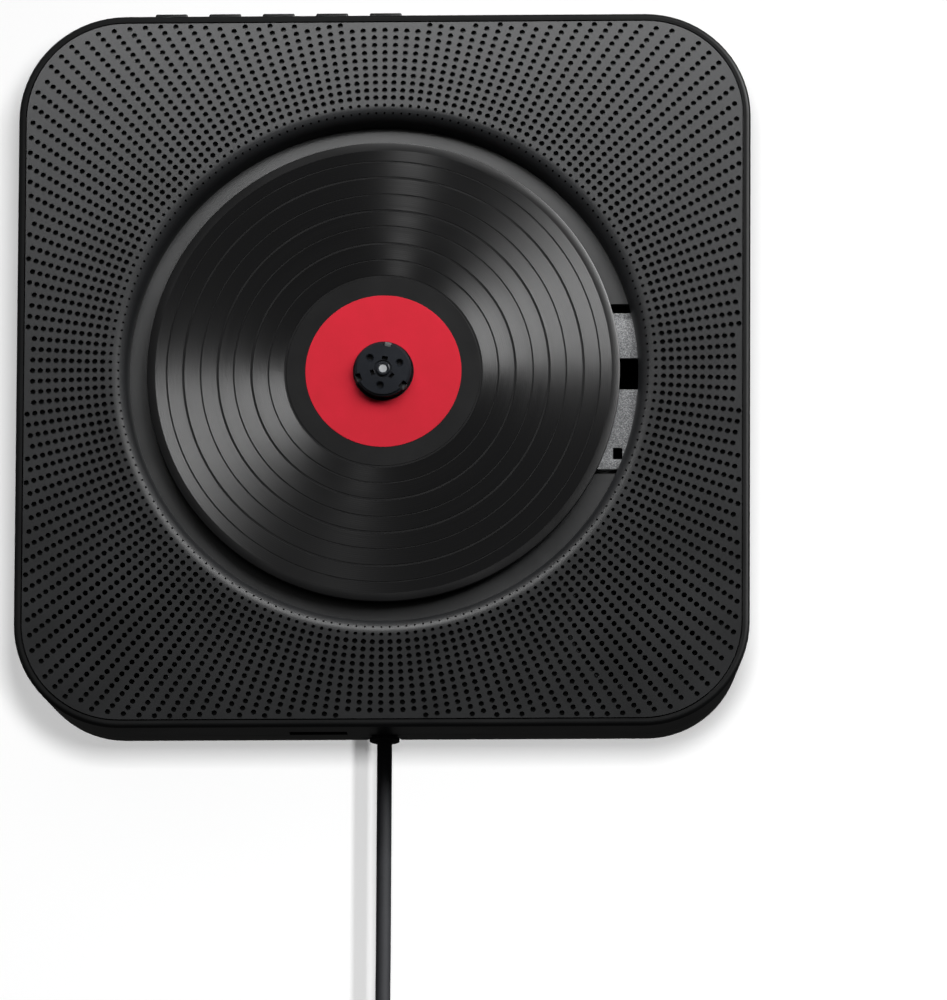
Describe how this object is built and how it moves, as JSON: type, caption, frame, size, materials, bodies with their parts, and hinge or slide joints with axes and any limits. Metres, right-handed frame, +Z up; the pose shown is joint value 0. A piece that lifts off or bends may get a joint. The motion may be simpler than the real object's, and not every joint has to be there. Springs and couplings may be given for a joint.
{
  "type": "wall mounted disc player",
  "caption": "Square wall mounted disc player with a perforated front, a bare spinning disc in a round well, top buttons and a pull cord with a plug.",
  "frame": {"origin": "on the wall plane at the centre of the wall plate's four screw holes, behind the disc's spindle", "axes": "+X to the viewer's right, +Y into the wall, +Z up; the front faces -Y"},
  "size_m": [0.186, 0.0385, 0.359],
  "materials": {
    "case_black": "fine satin",
    "front_grey": "satin, perforated",
    "steel": "zinc plated",
    "rubber_black": "satin",
    "mechanism_black": "satin",
    "plate_grey": "speckled paint",
    "hub_black": "gloss",
    "disc_black": "gloss, grooved",
    "label_red": "printed",
    "gear_white": "natural",
    "pinion_brass": "machined",
    "lens_glass": "coated",
    "board_green": "solder mask",
    "plug_steel": "plated",
    "button_black": "satin",
    "cone_black": "paper-like",
    "lead_black": "satin"
  },
  "bodies": {
    "wall_mount": {"wall_plate": "steel"},
    "case": {"foot_pads": "rubber_black", "rear_cover": "case_black", "rear_screws": "steel", "front_housing": "case_black", "inner_frame": "case_black", "front_grille": "front_grey", "disc_deck": "case_black", "dampers": "rubber_black", "mech_screws": "steel", "mech_frame": "mechanism_black", "mech_plate": "plate_grey", "spindle_motor": "steel", "guide_rods": "steel", "sled_motor": "steel", "limit_switch": "mechanism_black", "main_board": "board_green", "board_chips": "mechanism_black", "capacitors": "mechanism_black", "usb_board": "board_green", "usb_socket": "plug_steel", "button_board": "board_green", "tact_switches": "mechanism_black", "ir_receiver": "mechanism_black", "speaker_left": "steel", "speaker_left_cone": "cone_black", "speaker_right": "steel", "speaker_right_cone": "cone_black", "speaker_leads": "lead_black", "pull_switch": "case_black", "return_spring": "steel", "cord_grommet": "rubber_black"},
    "spindle": {"spindle_shaft": "steel", "turntable": "mechanism_black", "hub_cap": "hub_black"},
    "jaw_1": {"chuck_jaw_1": "mechanism_black"},
    "jaw_2": {"chuck_jaw_2": "mechanism_black"},
    "jaw_3": {"chuck_jaw_3": "mechanism_black"},
    "disc": {"disc": "disc_black", "disc_label": "label_red"},
    "sled": {"pickup_sled": "mechanism_black", "sled_rack": "gear_white"},
    "lens": {"lens_holder": "mechanism_black", "objective_lens": "lens_glass"},
    "drive_gear": {"drive_gear": "gear_white"},
    "motor_pinion": {"motor_pinion": "pinion_brass"},
    "pull_cord": {"switch_slider": "gear_white", "cord_clamp": "lead_black", "cord": "rubber_black", "cord_coil": "rubber_black", "cord_tie": "lead_black", "cord_tail": "rubber_black", "plug_body": "lead_black", "plug_shell": "plug_steel"},
    "button_1": {"button_1": "button_black"},
    "button_2": {"button_2": "button_black"},
    "button_3": {"button_3": "button_black"},
    "button_4": {"button_4": "button_black"},
    "button_5": {"button_5": "button_black"}
  },
  "joints": [
    {"name": "unhook", "type": "slide", "parent": "wall_mount", "child": "case", "axis": [0, 0, 1], "range_m": [0, 0.0035]},
    {"name": "spindle_spin", "type": "hinge", "parent": "case", "child": "spindle", "pos_m": [0, 0, 0], "axis": [0, -1, 0], "continuous": true},
    {"name": "disc_lift", "type": "slide", "parent": "spindle", "child": "disc", "axis": [0, -1, 0], "range_m": [0, 0.03]},
    {"name": "sled_slide", "type": "slide", "parent": "case", "child": "sled", "axis": [1, 0, 0], "range_m": [0, 0.034]},
    {"name": "lens_focus", "type": "slide", "parent": "sled", "child": "lens", "axis": [0, -1, 0], "range_m": [-0.0004, 0.0004], "stiffness_N_per_m": 60},
    {"name": "drive_gear_turn", "type": "hinge", "parent": "case", "child": "drive_gear", "pos_m": [0.04, 0, -0.0301], "axis": [0, 1, 0], "range_deg": [-1, 545]},
    {"name": "motor_pinion_turn", "type": "hinge", "parent": "case", "child": "motor_pinion", "pos_m": [0.04893, 0, -0.04075], "axis": [0, 1, 0], "range_deg": [-1960, 5]},
    {"name": "pull", "type": "slide", "parent": "case", "child": "pull_cord", "axis": [0, 0, -1], "range_m": [0, 0.006], "stiffness_N_per_m": 600, "springref_m": -0.003},
    {"name": "jaw_1_slide", "type": "slide", "parent": "spindle", "child": "jaw_1", "axis": [0.1736, 0, 0.9848], "range_m": [-0.0006, 0], "stiffness_N_per_m": 400, "springref_m": 0.0003},
    {"name": "jaw_2_slide", "type": "slide", "parent": "spindle", "child": "jaw_2", "axis": [-0.9397, 0, -0.342], "range_m": [-0.0006, 0], "stiffness_N_per_m": 400, "springref_m": 0.0003},
    {"name": "jaw_3_slide", "type": "slide", "parent": "spindle", "child": "jaw_3", "axis": [0.766, 0, -0.6428], "range_m": [-0.0006, 0], "stiffness_N_per_m": 400, "springref_m": 0.0003},
    {"name": "button_1_press", "type": "slide", "parent": "case", "child": "button_1", "axis": [0, 0, -1], "range_m": [0, 0.0008], "stiffness_N_per_m": 1200, "springref_m": -0.0004},
    {"name": "button_2_press", "type": "slide", "parent": "case", "child": "button_2", "axis": [0, 0, -1], "range_m": [0, 0.0008], "stiffness_N_per_m": 1200, "springref_m": -0.0004},
    {"name": "button_3_press", "type": "slide", "parent": "case", "child": "button_3", "axis": [0, 0, -1], "range_m": [0, 0.0008], "stiffness_N_per_m": 1200, "springref_m": -0.0004},
    {"name": "button_4_press", "type": "slide", "parent": "case", "child": "button_4", "axis": [0, 0, -1], "range_m": [0, 0.0008], "stiffness_N_per_m": 1200, "springref_m": -0.0004},
    {"name": "button_5_press", "type": "slide", "parent": "case", "child": "button_5", "axis": [0, 0, -1], "range_m": [0, 0.0008], "stiffness_N_per_m": 1200, "springref_m": -0.0004}
  ],
  "couplings": [
    {"joint": "drive_gear_turn", "follows": "sled_slide", "rad_per_m": 277.78},
    {"joint": "motor_pinion_turn", "follows": "sled_slide", "rad_per_m": -1000}
  ]
}
